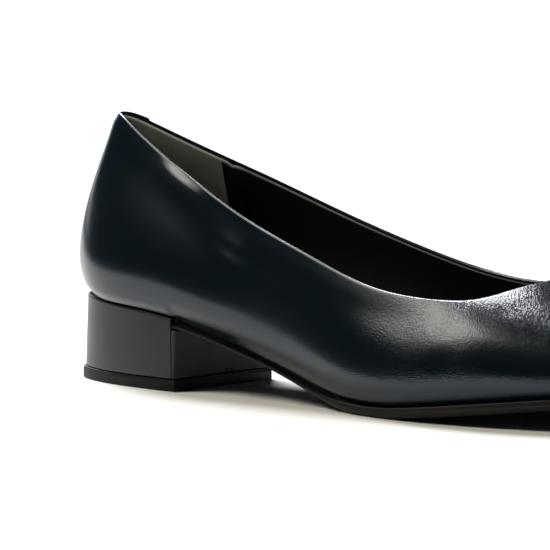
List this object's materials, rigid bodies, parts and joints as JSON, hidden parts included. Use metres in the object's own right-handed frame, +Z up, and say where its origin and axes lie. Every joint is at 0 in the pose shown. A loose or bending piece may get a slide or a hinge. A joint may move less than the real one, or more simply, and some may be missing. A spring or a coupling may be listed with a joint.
{
  "type": "block heel pump",
  "caption": "Low block heel pump for the right foot with a hollow leather upper, open collar, soft almond toe, slim arched sole and covered heel with a rubber top lift.",
  "frame": {"origin": "on the floor under the heel, 30 mm in front of the back of the seat, in the flat face of the top lift", "axes": "+X from heel to toe, +Y to the inner side of the right foot, +Z up"},
  "size_m": [0.2514, 0.0836, 0.0885],
  "materials": {
    "upper": "smooth satin",
    "insole": "matt",
    "outsole": "matt",
    "heel_block": "satin covering",
    "breast_cover": "matt",
    "top_lift": "matt"
  },
  "bodies": {
    "root": {"upper": "upper", "insole": "insole", "outsole": "outsole", "heel_block": "heel_block", "breast_cover": "breast_cover", "top_lift": "top_lift"}
  },
  "joints": []
}
